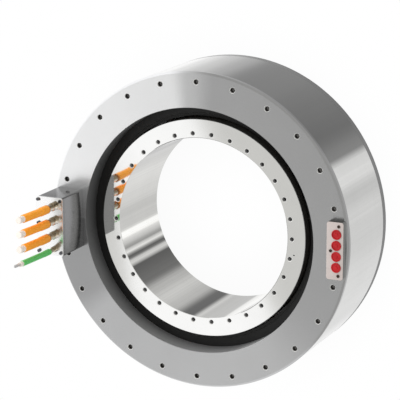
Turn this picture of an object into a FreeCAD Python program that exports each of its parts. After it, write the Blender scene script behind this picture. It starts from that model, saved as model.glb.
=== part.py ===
import FreeCAD, Part
import math
import os

from FreeCAD import Vector

# Frameless ring motor: a cooled ring stator with a magnet rotor ring turning inside it.
# Millimetres. The origin is the centre of the stator's rear face, +Z runs along the axis to the
# face with the connections, +X points at the coolant ports and -X at the power leads.

# Stator rings, by radius from the outside in
STATOR_RADIUS = 251.0
FLANGE_WIDTH = 56.5
FLANGE_CHAMFER = 3.0
BOLT_CIRCLE_INSET = 16.0
JACKET_WALL = 29.0
YOKE_DEPTH = 12.0
TOOTH_LENGTH = 35.8
AIR_GAP = 0.7
POTTING_FROM_BORE = 2.3

# Stator rings, by height from the rear face up
REAR_RING_LENGTH = 13.0
COIL_FROM_REAR_RING = 7.7
COIL_HEAD = 8.0
COIL_CLEARANCE = 0.3
CORE_LENGTH = 80.0
POTTING_OVER_COILS = 0.7
POTTING_LENGTH = 11.0
FLANGE_SPIGOT_LENGTH = 25.0
FLANGE_LENGTH = 9.0

# Laminated core and its tooth coils
SLOT_COUNT = 24
TOOTH_WIDTH = 24.0
COIL_SPACE = 3.8
COIL_FROM_TIP = 4.5
COIL_FROM_YOKE = 0.6
COILS_IN_A_GROUP = 2
PHASES = ("u", "v", "w")

# Rotor ring
ROTOR_WIDTH = 29.5
ROTOR_RECESS = 20.7
ROTOR_BELOW_MAGNETS = 14.0
MAGNET_COUNT = 28
MAGNET_DEPTH = 7.0
MAGNET_COVER = 1.35
MAGNET_SPACE = 5.2
MAGNET_BEYOND_CORE = 3.7
MAGNET_END_GAP = 0.3

# Bolt holes
BOLT_POSITIONS = 24
BOLT_HOLE_RADIUS = 3.4
ROTOR_BOLT_INSET = 6.85
ROTOR_BOLT_COUNT = 30
ROTOR_BOLT_DEPTH = 18.0

# Cable box on the face, opposite the coolant ports
CABLE_BOX_FROM_EDGE = 4.0
CABLE_BOX_DEPTH = 47.7
CABLE_BOX_WIDTH = 94.0
CABLE_BOX_HEIGHT = 60.0
CABLE_BOX_WALL = 9.0
CABLE_BOX_OUTER_CORNER = 7.0
CABLE_BOX_INNER_CORNER = 3.0
CABLE_PLATE_THICKNESS = 5.0
WIRE_SLOT_FROM_JACKET = 3.5
WIRE_SLOT_WIDTH = 56.0
PLATE_SCREW_INSET = 4.2
PLATE_SCREW_SIDE_INSET = 5.2
PLATE_MIDDLE_SCREW_Y = 3.8
PLATE_SCREW_FLATS = 5.0
PLATE_SCREW_HEIGHT = 2.0

# Power and earth leads
LEAD_INSET = 12.2
LEAD_SIDE_INSET = 12.5
LEAD_LEAN = (2.8, 3.0, 2.6, 2.7)
POWER_LEAD_RADIUS = 6.4
POWER_LEAD_LENGTH = 99.5
POWER_GLAND_FLATS = 13.0
POWER_GLAND_HEIGHT = 14.5
EARTH_LEAD_RADIUS = 4.5
EARTH_LEAD_LENGTH = 101.0
EARTH_GLAND_FLATS = 10.0
EARTH_GLAND_HEIGHT = 12.0
EARTH_END_RADIUS = 2.4
EARTH_END_LENGTH = 14.0

# Coolant port block
PORT_BLOCK_FROM_EDGE = 3.4
PORT_BLOCK_DEPTH = 27.0
PORT_BLOCK_WIDTH = 89.5
PORT_BLOCK_HEIGHT = 12.5
PORT_BLOCK_CORNER = 4.0
PORT_INSET = 11.1
PORT_SIDE_INSET = 19.25
PORT_COUNT = 4
PLUG_SPACE = 1.6
PLUG_HEIGHT = 1.6
PORT_SCREW_SIDE_INSET = 6.5
PORT_SCREW_OUTER_INSET = 7.6
PORT_SCREW_INNER_INSET = 6.8
PORT_SCREW_FLATS = 4.4
PORT_SCREW_HEIGHT = 1.2

# Radii that follow
FLANGE_BORE_RADIUS = STATOR_RADIUS - FLANGE_WIDTH
BOLT_CIRCLE_RADIUS = STATOR_RADIUS - BOLT_CIRCLE_INSET
JACKET_BORE_RADIUS = STATOR_RADIUS - JACKET_WALL
SLOT_FLOOR = JACKET_BORE_RADIUS - YOKE_DEPTH
STATOR_BORE_RADIUS = SLOT_FLOOR - TOOTH_LENGTH
POTTING_BORE_RADIUS = STATOR_BORE_RADIUS + POTTING_FROM_BORE
ROTOR_RADIUS = STATOR_BORE_RADIUS - AIR_GAP
ROTOR_BORE_RADIUS = ROTOR_RADIUS - ROTOR_WIDTH
ROTOR_BOLT_CIRCLE_RADIUS = ROTOR_BORE_RADIUS + ROTOR_BOLT_INSET
MAGNET_SEAT = ROTOR_RADIUS - MAGNET_COVER - MAGNET_DEPTH
MAGNET_WIDTH = 2 * MAGNET_SEAT * math.tan(math.pi / MAGNET_COUNT) - MAGNET_SPACE

# Levels that follow
COIL_REACH = COIL_HEAD + COIL_CLEARANCE
CORE_BOTTOM = REAR_RING_LENGTH + COIL_FROM_REAR_RING + COIL_REACH
CORE_TOP = CORE_BOTTOM + CORE_LENGTH
CORE_MIDDLE = (CORE_BOTTOM + CORE_TOP) / 2
POTTING_BOTTOM = CORE_TOP + COIL_REACH + POTTING_OVER_COILS
POTTING_TOP = POTTING_BOTTOM + POTTING_LENGTH
JACKET_TOP = POTTING_TOP + FLANGE_SPIGOT_LENGTH
FRONT = JACKET_TOP + FLANGE_LENGTH
MAGNET_TOP = CORE_TOP + MAGNET_BEYOND_CORE
MAGNET_BOTTOM = CORE_BOTTOM - MAGNET_BEYOND_CORE
ROTOR_TOP = FRONT - ROTOR_RECESS
ROTOR_BOTTOM = MAGNET_BOTTOM - ROTOR_BELOW_MAGNETS

# Places on the face that follow
CABLE_BOX_OUTER_X = -(STATOR_RADIUS - CABLE_BOX_FROM_EDGE)
CABLE_BOX_INNER_X = CABLE_BOX_OUTER_X + CABLE_BOX_DEPTH
BOX_TOP = FRONT + CABLE_BOX_HEIGHT
PLATE_TOP = BOX_TOP + CABLE_PLATE_THICKNESS
LEAD_X = CABLE_BOX_INNER_X - LEAD_INSET
LEAD_PITCH = (CABLE_BOX_WIDTH - 2 * LEAD_SIDE_INSET) / len(PHASES)
LEAD_Y = [CABLE_BOX_WIDTH / 2 - LEAD_SIDE_INSET - i * LEAD_PITCH for i in range(len(PHASES) + 1)]
PORT_BLOCK_OUTER_X = STATOR_RADIUS - PORT_BLOCK_FROM_EDGE
PORT_BLOCK_INNER_X = PORT_BLOCK_OUTER_X - PORT_BLOCK_DEPTH
PORT_BLOCK_TOP = FRONT + PORT_BLOCK_HEIGHT
PORT_PITCH = (PORT_BLOCK_WIDTH - 2 * PORT_SIDE_INSET) / (PORT_COUNT - 1)
PLUG_RADIUS = (PORT_PITCH - PLUG_SPACE) / 2


def rod(radius, x, y, bottom, top):
    """An upright round bar."""
    return Part.makeCylinder(radius, top - bottom, Vector(x, y, bottom))


def ring(inner, outer, bottom, top):
    """A plain ring about the Z axis."""
    return rod(outer, 0, 0, bottom, top).cut(rod(inner, 0, 0, bottom, top))


def turned(points):
    """A solid turned about the Z axis from its half section, given as (radius, height) points."""
    corners = [Vector(r, 0, z) for r, z in points]
    section = Part.Face(Part.makePolygon(corners + corners[:1]))
    return section.revolve(Vector(0, 0, 0), Vector(0, 0, 1), 360)


def on_circle(radius, azimuth):
    """The x and y of a point on a circle about the axis, azimuth in degrees from +X."""
    angle = math.radians(azimuth)
    return radius * math.cos(angle), radius * math.sin(angle)


def regular_prism(sides, flat_distance, x, y, bottom, top, first_flat=0.0):
    """An upright prism with equal sides, each flat_distance from its axis."""
    reach = flat_distance / math.cos(math.pi / sides)
    corners = []
    for i in range(sides + 1):
        dx, dy = on_circle(reach, first_flat + (i + 0.5) * 360 / sides)
        corners.append(Vector(x + dx, y + dy, bottom))
    return Part.Face(Part.makePolygon(corners)).extrude(Vector(0, 0, top - bottom))


def turned_copies(shape, count):
    """Copies of a shape, evenly spaced about the axis, the first where the shape is."""
    copies = []
    for i in range(count):
        copy = shape.copy()
        copy.rotate(Vector(0, 0, 0), Vector(0, 0, 1), i * 360 / count)
        copies.append(copy)
    return copies


def rounded_box(x_range, y_range, bottom, top, low_corner, high_corner):
    """A box with rounded upright edges: one radius at its low x end, one at its high x end."""
    (x0, x1), (y0, y1) = x_range, y_range
    box = Part.makeBox(x1 - x0, y1 - y0, top - bottom, Vector(x0, y0, bottom))
    for radius, x_end in ((low_corner, x0), (high_corner, x1)):
        upright = [e for e in box.Edges if is_upright_at(e, x_end, y_range)]
        box = box.makeFillet(radius, upright)
    return box


def is_upright_at(edge, x, y_range):
    """Whether an edge is a straight upright one at this x and at one of two y values."""
    if len(edge.Vertexes) != 2:
        return False
    start, end = (vertex.Point for vertex in edge.Vertexes)
    upright = math.hypot(start.x - end.x, start.y - end.y) < 1e-6
    return upright and abs(start.x - x) < 1e-6 and min(abs(start.y - y) for y in y_range) < 1e-6


def bolt_azimuths():
    """The flange's bolt positions that neither the port block nor the cable box covers."""
    covered = (0, BOLT_POSITIONS // 2)
    return [i * 360 / BOLT_POSITIONS for i in range(BOLT_POSITIONS) if i not in covered]


def wire_slot(bottom, top):
    """The slot that takes the winding's ends from the coil heads up into the cable box."""
    outer_x = -(JACKET_BORE_RADIUS - WIRE_SLOT_FROM_JACKET)
    inner_x = CABLE_BOX_INNER_X - CABLE_BOX_WALL
    corner = Vector(outer_x, -WIRE_SLOT_WIDTH / 2, bottom)
    return Part.makeBox(inner_x - outer_x, WIRE_SLOT_WIDTH, top - bottom, corner)


def front_flange():
    """The turned front flange, with a deep spigot that centres it in the jacket."""
    body = turned([
        (FLANGE_BORE_RADIUS, FRONT),
        (STATOR_RADIUS - FLANGE_CHAMFER, FRONT),
        (STATOR_RADIUS, FRONT - FLANGE_CHAMFER),
        (STATOR_RADIUS, JACKET_TOP),
        (JACKET_BORE_RADIUS, JACKET_TOP),
        (JACKET_BORE_RADIUS, POTTING_TOP),
        (FLANGE_BORE_RADIUS, POTTING_TOP),
    ])
    cuts = [wire_slot(POTTING_TOP, FRONT)]
    for azimuth in bolt_azimuths():
        x, y = on_circle(BOLT_CIRCLE_RADIUS, azimuth)
        cuts.append(rod(BOLT_HOLE_RADIUS, x, y, JACKET_TOP, FRONT))
    return body.cut(cuts)


def cooling_jacket():
    """The jacket ring that holds the core and carries its heat away."""
    return ring(JACKET_BORE_RADIUS, STATOR_RADIUS, REAR_RING_LENGTH, JACKET_TOP)


def rear_ring():
    """The rear end ring, which reaches in under the coil heads."""
    return ring(POTTING_BORE_RADIUS, STATOR_RADIUS, 0, REAR_RING_LENGTH)


def stator_core():
    """The lamination stack: a round yoke, flat slot floors and parallel-sided teeth."""
    outside = rod(JACKET_BORE_RADIUS, 0, 0, CORE_BOTTOM, CORE_TOP)
    slots = regular_prism(SLOT_COUNT, SLOT_FLOOR, 0, 0, CORE_BOTTOM, CORE_TOP)
    tooth_reach = SLOT_FLOOR + YOKE_DEPTH / 2 - STATOR_BORE_RADIUS
    corner = Vector(STATOR_BORE_RADIUS, -TOOTH_WIDTH / 2, CORE_BOTTOM)
    tooth = Part.makeBox(tooth_reach, TOOTH_WIDTH, CORE_LENGTH, corner)
    return outside.cut(slots).fuse(turned_copies(tooth, SLOT_COUNT)).removeSplitter()


def coil():
    """One coil, wound round the tooth on +X."""
    inner_x = STATOR_BORE_RADIUS + COIL_FROM_TIP
    depth = SLOT_FLOOR - COIL_FROM_YOKE - inner_x
    half_width = TOOTH_WIDTH / 2 + COIL_CLEARANCE
    side = inner_x * math.tan(math.pi / SLOT_COUNT) - half_width - COIL_SPACE / 2
    half_height = CORE_LENGTH / 2 + COIL_CLEARANCE

    def block(beside, beyond):
        low = Vector(inner_x, -half_width - beside, CORE_MIDDLE - half_height - beyond)
        return Part.makeBox(depth, 2 * (half_width + beside), 2 * (half_height + beyond), low)

    return block(side, COIL_HEAD).cut(block(0, 0))


def phase_coils(phase):
    """The coils of one phase: groups of neighbouring teeth, repeated round the stator."""
    coils = turned_copies(coil(), SLOT_COUNT)
    turns = range(SLOT_COUNT)
    return Part.makeCompound(
        [coils[i] for i in turns if i // COILS_IN_A_GROUP % len(PHASES) == phase]
    )


def front_potting():
    """The cast resin ring over the front coil heads: the floor of the recess round the rotor."""
    return ring(POTTING_BORE_RADIUS, JACKET_BORE_RADIUS, POTTING_BOTTOM, POTTING_TOP)


def rotor_carrier():
    """The rotor ring: a bolted front collar, a round bore and a flat for each magnet."""
    collar_bottom = MAGNET_TOP + MAGNET_END_GAP
    collar = rod(ROTOR_RADIUS, 0, 0, collar_bottom, ROTOR_TOP)
    seats = regular_prism(MAGNET_COUNT, MAGNET_SEAT, 0, 0, ROTOR_BOTTOM, collar_bottom)
    cuts = [rod(ROTOR_BORE_RADIUS, 0, 0, ROTOR_BOTTOM, ROTOR_TOP)]
    for i in range(ROTOR_BOLT_COUNT):
        x, y = on_circle(ROTOR_BOLT_CIRCLE_RADIUS, i * 360 / ROTOR_BOLT_COUNT)
        cuts.append(rod(BOLT_HOLE_RADIUS, x, y, ROTOR_TOP - ROTOR_BOLT_DEPTH, ROTOR_TOP))
    return collar.fuse(seats).cut(cuts)


def magnets(first):
    """Every second magnet, from the first or the second on: one of the two polarities."""
    corner = Vector(MAGNET_SEAT, -MAGNET_WIDTH / 2, MAGNET_BOTTOM)
    magnet = Part.makeBox(MAGNET_DEPTH, MAGNET_WIDTH, MAGNET_TOP - MAGNET_BOTTOM, corner)
    return Part.makeCompound(turned_copies(magnet, MAGNET_COUNT)[first::2])


def cable_box_outline():
    """The cable box's ranges in x and y."""
    half = CABLE_BOX_WIDTH / 2
    return (CABLE_BOX_OUTER_X, CABLE_BOX_INNER_X), (-half, half)


def cable_box():
    """The polished frame round the winding's ends, open at both ends, on the wire slot."""
    x_range, y_range = cable_box_outline()
    shell = rounded_box(
        x_range, y_range, FRONT, BOX_TOP, CABLE_BOX_OUTER_CORNER, CABLE_BOX_INNER_CORNER
    )
    hollow = Part.makeBox(
        CABLE_BOX_DEPTH - 2 * CABLE_BOX_WALL,
        CABLE_BOX_WIDTH - 2 * CABLE_BOX_WALL,
        CABLE_BOX_HEIGHT,
        Vector(x_range[0] + CABLE_BOX_WALL, y_range[0] + CABLE_BOX_WALL, FRONT),
    )
    return shell.cut(hollow)


def cable_plate():
    """The cover plate that carries the glands."""
    x_range, y_range = cable_box_outline()
    return rounded_box(
        x_range, y_range, BOX_TOP, PLATE_TOP, CABLE_BOX_OUTER_CORNER, CABLE_BOX_INNER_CORNER
    )


def cable_plate_screws():
    """The cover plate's hexagon screws: two beside the motor's bore and three outside."""
    side_y = CABLE_BOX_WIDTH / 2 - PLATE_SCREW_SIDE_INSET
    outer_x = CABLE_BOX_OUTER_X + PLATE_SCREW_INSET
    inner_x = CABLE_BOX_INNER_X - PLATE_SCREW_INSET
    places = [(outer_x, y) for y in (-side_y, PLATE_MIDDLE_SCREW_Y, side_y)]
    places += [(inner_x, y) for y in (-side_y, side_y)]
    return hexagon_heads(places, PLATE_SCREW_FLATS, PLATE_TOP, PLATE_SCREW_HEIGHT)


def hexagon_heads(places, across_flats, seat, height):
    """Hexagon heads of one size on one face."""
    heads = [regular_prism(6, across_flats / 2, x, y, seat, seat + height) for x, y in places]
    return Part.makeCompound(heads)


def lead(number, radius, gland_height, length):
    """A stiff lead that stands on its gland and leans a little towards +Y."""
    start = Vector(LEAD_X, LEAD_Y[number], PLATE_TOP + gland_height)
    foot = Part.Face(Part.Wire(Part.makeCircle(radius, start)))
    return foot.extrude(Vector(0, LEAD_LEAN[number], length))


def earth_end():
    """The bared end of the earth lead, in line with it."""
    number = len(PHASES)
    bottom = PLATE_TOP + EARTH_GLAND_HEIGHT + EARTH_LEAD_LENGTH
    start = Vector(LEAD_X, LEAD_Y[number] + LEAD_LEAN[number], bottom)
    foot = Part.Face(Part.Wire(Part.makeCircle(EARTH_END_RADIUS, start)))
    lean = LEAD_LEAN[number] * EARTH_END_LENGTH / EARTH_LEAD_LENGTH
    return foot.extrude(Vector(0, lean, EARTH_END_LENGTH))


def port_block():
    """The block over the coolant ports."""
    half = PORT_BLOCK_WIDTH / 2
    return rounded_box(
        (PORT_BLOCK_INNER_X, PORT_BLOCK_OUTER_X),
        (-half, half),
        FRONT,
        PORT_BLOCK_TOP,
        PORT_BLOCK_CORNER,
        PORT_BLOCK_CORNER,
    )


def port_screws():
    """The port block's hexagon screws: one at each end and one towards the bore."""
    side_y = PORT_BLOCK_WIDTH / 2 - PORT_SCREW_SIDE_INSET
    outer_x = PORT_BLOCK_OUTER_X - PORT_SCREW_OUTER_INSET
    places = [(outer_x, -side_y), (PORT_BLOCK_INNER_X + PORT_SCREW_INNER_INSET, 0), (outer_x, side_y)]
    return hexagon_heads(places, PORT_SCREW_FLATS, PORT_BLOCK_TOP, PORT_SCREW_HEIGHT)


def coolant_plugs():
    """The plugs that close the coolant ports, in a row along Y."""
    first = -PORT_PITCH * (PORT_COUNT - 1) / 2
    x = PORT_BLOCK_OUTER_X - PORT_INSET
    plugs = []
    for i in range(PORT_COUNT):
        y = first + i * PORT_PITCH
        plugs.append(rod(PLUG_RADIUS, x, y, PORT_BLOCK_TOP, PORT_BLOCK_TOP + PLUG_HEIGHT))
    return Part.makeCompound(plugs)


def build():
    """Every node of the motor, by name."""
    earth = len(PHASES)
    nodes = {
        "front_flange": front_flange(),
        "cooling_jacket": cooling_jacket(),
        "rear_ring": rear_ring(),
        "stator_core": stator_core(),
        "front_potting": front_potting(),
        "rotor_carrier": rotor_carrier(),
        "magnets_north": magnets(0),
        "magnets_south": magnets(1),
        "cable_box": cable_box(),
        "cable_plate": cable_plate(),
        "cable_plate_screws": cable_plate_screws(),
        "port_block": port_block(),
        "port_screws": port_screws(),
        "coolant_plugs": coolant_plugs(),
        "power_glands": hexagon_heads(
            [(LEAD_X, y) for y in LEAD_Y[:earth]], POWER_GLAND_FLATS, PLATE_TOP, POWER_GLAND_HEIGHT
        ),
        "earth_gland": hexagon_heads(
            [(LEAD_X, LEAD_Y[earth])], EARTH_GLAND_FLATS, PLATE_TOP, EARTH_GLAND_HEIGHT
        ),
        "earth_lead": lead(earth, EARTH_LEAD_RADIUS, EARTH_GLAND_HEIGHT, EARTH_LEAD_LENGTH),
        "earth_end": earth_end(),
    }
    for number, phase in enumerate(PHASES):
        nodes["coils_" + phase] = phase_coils(number)
        nodes["power_lead_" + phase] = lead(
            number, POWER_LEAD_RADIUS, POWER_GLAND_HEIGHT, POWER_LEAD_LENGTH
        )
    return nodes


os.makedirs("parts", exist_ok=True)
for name, shape in build().items():
    shape.exportStep("parts/" + name + ".step")
    print(f"{name}: {len(shape.Solids)} solids, {shape.Volume / 1000:.1f} cm3, valid {shape.isValid()}")
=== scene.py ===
import math

import bmesh
import bpy
from mathutils import Matrix, Vector

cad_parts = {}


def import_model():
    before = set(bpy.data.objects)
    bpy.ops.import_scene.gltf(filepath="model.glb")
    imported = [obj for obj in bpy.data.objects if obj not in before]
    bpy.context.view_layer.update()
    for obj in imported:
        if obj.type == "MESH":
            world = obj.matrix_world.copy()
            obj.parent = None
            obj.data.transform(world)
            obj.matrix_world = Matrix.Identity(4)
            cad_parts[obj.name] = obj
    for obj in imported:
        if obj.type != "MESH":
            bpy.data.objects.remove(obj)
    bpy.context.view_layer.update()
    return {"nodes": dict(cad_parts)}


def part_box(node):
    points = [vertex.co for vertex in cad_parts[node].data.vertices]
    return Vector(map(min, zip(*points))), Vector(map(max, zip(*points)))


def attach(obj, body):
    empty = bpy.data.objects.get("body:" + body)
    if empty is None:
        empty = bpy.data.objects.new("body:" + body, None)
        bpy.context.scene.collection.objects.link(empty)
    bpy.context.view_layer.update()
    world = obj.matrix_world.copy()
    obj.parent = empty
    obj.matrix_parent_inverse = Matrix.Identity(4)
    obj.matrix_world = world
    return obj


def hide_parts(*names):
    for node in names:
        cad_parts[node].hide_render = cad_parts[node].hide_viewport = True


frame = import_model()

MM = 0.001
TAU = 2 * math.pi

# Places read from the frame
FLANGE_LOW, FLANGE_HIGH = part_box("front_flange")
JACKET_LOW, JACKET_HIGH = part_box("cooling_jacket")
REAR_LOW, REAR_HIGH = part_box("rear_ring")
ROTOR_LOW, ROTOR_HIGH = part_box("rotor_carrier")
POTTING_LOW, POTTING_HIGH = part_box("front_potting")
BOX_LOW, BOX_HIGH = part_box("cable_box")
PLATE_LOW, PLATE_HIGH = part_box("cable_plate")
PORT_LOW, PORT_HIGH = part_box("port_block")
PLUG_LOW, PLUG_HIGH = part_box("coolant_plugs")
MAGNETS_LOW, MAGNETS_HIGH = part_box("magnets_north")
FRONT = FLANGE_HIGH.z
ROTOR_TOP = ROTOR_HIGH.z

# Radii of the rings, as the part has them
STATOR_RADIUS = 251.0 * MM
FLANGE_BORE = 194.5 * MM
JACKET_BORE = 222.0 * MM
POTTING_BORE = 176.5 * MM
ROTOR_RADIUS = 173.5 * MM
ROTOR_BORE = 144.0 * MM
MAGNET_SEAT = 165.15 * MM
MAGNET_COUNT = 28
MAGNET_END_GAP = 0.3 * MM
BAND_INNER = 172.95 * MM
BAND_OUTER = 173.3 * MM

# Edges and seams
FLANGE_CHAMFER = 3.0 * MM
SEAM = 0.15 * MM
SOFT_EDGE = 0.6 * MM
BOX_OUTER_CORNER = 7.0 * MM
BOX_INNER_CORNER = 3.0 * MM
BOX_EDGE = 0.3 * MM
PLATE_EDGE = 0.2 * MM
PORT_CORNER = 4.0 * MM
PORT_EDGE = 0.8 * MM
SLAB_FOOT_EDGE = 0.3 * MM
EDGE_BEND = 0.3

# The step in the potting and its slope
POTTING_STEP_WIDTH = 4.0 * MM
POTTING_STEP_DEPTH = 1.2 * MM
POTTING_SLOPE = 0.8 * MM

# Bolt holes
BOLT_CIRCLE = 235.0 * MM
BOLT_POSITIONS = 24
ROTOR_BOLT_CIRCLE = 150.85 * MM
ROTOR_BOLTS = 30
BOLT_HOLE = 3.4 * MM
HOLE_MOUTH = 0.8 * MM
BOLT_THROAT = 0.8 * MM
BOLT_MOUTH = 0.5 * MM
DRILL_POINT = 0.3
DRILL_TIP = 0.02
FLANGE_HOLE_DEPTH = FRONT - JACKET_HIGH.z - 2 * DRILL_POINT * BOLT_HOLE
ROTOR_HOLE_DEPTH = 18.0 * MM
MARK_HOLE = 1.3 * MM
MARK_HOLE_DEPTH = 4 * MARK_HOLE
MARK_MOUTH = 0.3 * HOLE_MOUTH
MARK_CIRCLE = 156.7 * MM
MARK_AZIMUTH = -9.1

# Screw heads, with the two radii of their dish as shares of the width over the flats
PLATE_SCREWS = 5
PLATE_SCREW_FLATS = 5.0 * MM
PORT_SCREWS = 3
PORT_SCREW_FLATS = 4.4 * MM
SCREW_CROWN = 0.35 * MM
SCREW_DISH = 0.3
SCREW_DISH_FLOOR = 0.26

# How far out the corners of a hexagon are cropped, against the distance to its flats
CROPPED_CORNER = 1.02
GLAND_CORNER = 1.12

# Coolant plugs, from the foot to the middle, in rows of (share of the radius, share of the height)
PLUG_COUNT = 4
PLUG_OUTLINE = [
    (1.0, 0.0), (1.0, 0.60), (0.97, 0.88), (0.90, 1.0), (0.82, 1.0),
    (0.76, 0.40), (0.34, 0.38), (0.30, 0.70), (0.10, 0.74),
]

# Glands, with the cap from the groove to the top in rows of (share of the radius, of the height)
POWER_GLAND_FLATS = 13.0 * MM
POWER_GLAND_HEIGHT = 14.5 * MM
EARTH_GLAND_FLATS = 10.0 * MM
EARTH_GLAND_HEIGHT = 12.0 * MM
GLAND_FOOT = 0.13
GLAND_FOOT_TOP = 0.16
GLAND_CAP = [(0.94, 0.17), (0.94, 0.20), (1.0, 0.22), (1.0, 0.92), (0.93, 0.98), (0.80, 1.0)]

# Leads: where they start, how far each leans, and their sizes
LEAD_X = -211.5 * MM
LEAD_Y = (34.5 * MM, 11.5 * MM, -11.5 * MM, -34.5 * MM)
LEAD_LEAN = (2.8 * MM, 3.0 * MM, 2.6 * MM, 2.7 * MM)
LEAD_BOW = 0.6 * MM
POWER_LEAD_LENGTH = 99.5 * MM
EARTH_LEAD_LENGTH = 101.0 * MM
EARTH_END_LENGTH = 14.0 * MM
EARTH_END_RADIUS = 2.4 * MM
OUTER_STRANDS = 6
STRAND_STAGGER = 0.03

# Radii along the leads
POWER_NECK = 5.4 * MM
POWER_BOOT = 6.9 * MM
POWER_SHEATH = 6.3 * MM
POWER_CORE = 5.2 * MM
EARTH_NECK = 3.6 * MM
EARTH_BOOT = 4.8 * MM
EARTH_SHEATH = 4.5 * MM
EARTH_FERRULE = 3.9 * MM

# Distances along the leads, and the length of a square step
POWER_BOOT_START = 13.0 * MM
POWER_RIM_END = 16.0 * MM
POWER_BOOT_END = 34.0 * MM
POWER_SHEATH_END = 86.5 * MM
EARTH_BOOT_START = 11.0 * MM
EARTH_BOOT_END = 27.0 * MM
EARTH_SHEATH_END = 93.8 * MM
SQUARE_STEP = 0.1 * MM
BOOT_ROUNDING = 0.6 * MM

# Fineness of what is turned
RING_STEPS = 720
HOLE_STEPS = 32
SMALL_STEPS = 96
PLUG_STEPS = 64
SCREW_STEPS = 48
STRAND_STEPS = 24
CORNER_STEPS = 8
FLOOR_STEPS = 64
LINE_STEPS = 16
SHARP_ANGLE = math.radians(28)

# Fineness of the surfaces, in cycles per metre but for the axial streaks, per radius
TURNING_SCALE = 700.0
AXIAL_SCALE = 60.0
RING_CLOUD = 14.0
METAL_GRAIN = 900.0
METAL_CLOUD = 30.0
PLASTIC_GRAIN = 1500.0
PLASTIC_CLOUD = 60.0

# Depth of the finest marks
TURNING_DEPTH = 0.0005 * MM
METAL_GRAIN_DEPTH = 0.0015 * MM
PLASTIC_GRAIN_DEPTH = 0.004 * MM
RESIN_GRAIN_DEPTH = 0.02 * MM

# How far the noises change a shade or a roughness, as a share
CLOUD_SHARE = 0.02
MARK_ROUGHNESS = 0.06
METAL_ROUGHNESS = 0.25
PLASTIC_ROUGHNESS = 0.2

# Where nearly all values of a noise texture lie
NOISE_LOW = 0.3
NOISE_HIGH = 0.7

# Camera, by its place and its axes in the part's frame
CAMERA_PLACE = Vector((1.23373, 0.7751, 2.74666))
CAMERA_RIGHT = Vector((0.90353, -0.00235, -0.42853))
CAMERA_UP = Vector((-0.10303, 0.96946, -0.22257))
CAMERA_LENS = 172.82
CAMERA_SENSOR = 36.0
CAMERA_REACH = 60.0

# How high the painted shade darkens the rear ring towards the floor
REAR_SHADE_HEIGHT = 4.0 * MM

# The painted reflection of the face's rim on the box's side walls
BOX_COLOUR = (0.25, 0.25, 0.255, 1.0)
BOX_ROUGHNESS = 0.24
RIM_SLANT = 0.74
RIM_SOFTNESS = 0.04
RIM_DARK, RIM_LIGHT = 0.62, 1.12

# Painted reflections on the glands' metal: colours from the side that faces -Y to the side that
# faces +Y
GLAND_REFLECTION_TONES = [
    (0.0, (0.90, 0.84, 0.77)),
    (0.35, (1.0, 0.96, 0.90)),
    (0.5, (0.80, 0.70, 0.58)),
    (0.6, (0.36, 0.29, 0.19)),
    (1.0, (0.25, 0.20, 0.13)),
]

# Light for matt surfaces against that for mirrors, and the floor
DIFFUSE_STRENGTH = 1.45
FLOOR_MATT = (0.8, 0.8, 0.8, 1.0)
FLOOR_RADIUS = 9.0
FLOOR_CLEARANCE = 0.5 * MM
WHITE = (1.0, 1.0, 1.0, 1.0)

# The floor's shadow: how far it reaches, how open the floor is at its two ends, and its tone
SHADOW_REACH = 0.16
SHADOW_CLOSED = 0.1
SHADOW_OPEN = 0.85
SHADOW_WHITE = 0.95

# The studio's grey side and the narrow grey band beside it. Their soft edges are slopes of a ray
# to +X, or to +Y by a weight, over its climb
STUDIO_GREY = (0.60, 0.597, 0.58, 1.0)
GREY_EAST, GREY_NORTH = 0.92, 0.39
GREY_EDGE = (-0.535, -0.52)
BAND_NORTH = 0.15
BAND_START = (-0.571, -0.577)
BAND_END = (-0.608, -0.600)
LEAST_CLIMB = 0.02

# The broad lamp over the picture's upper left
KEY_PLACE = Vector((-1.4, 1.5, 2.2))
KEY_SIZE = 1.6
KEY_POWER = 26.0


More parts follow.
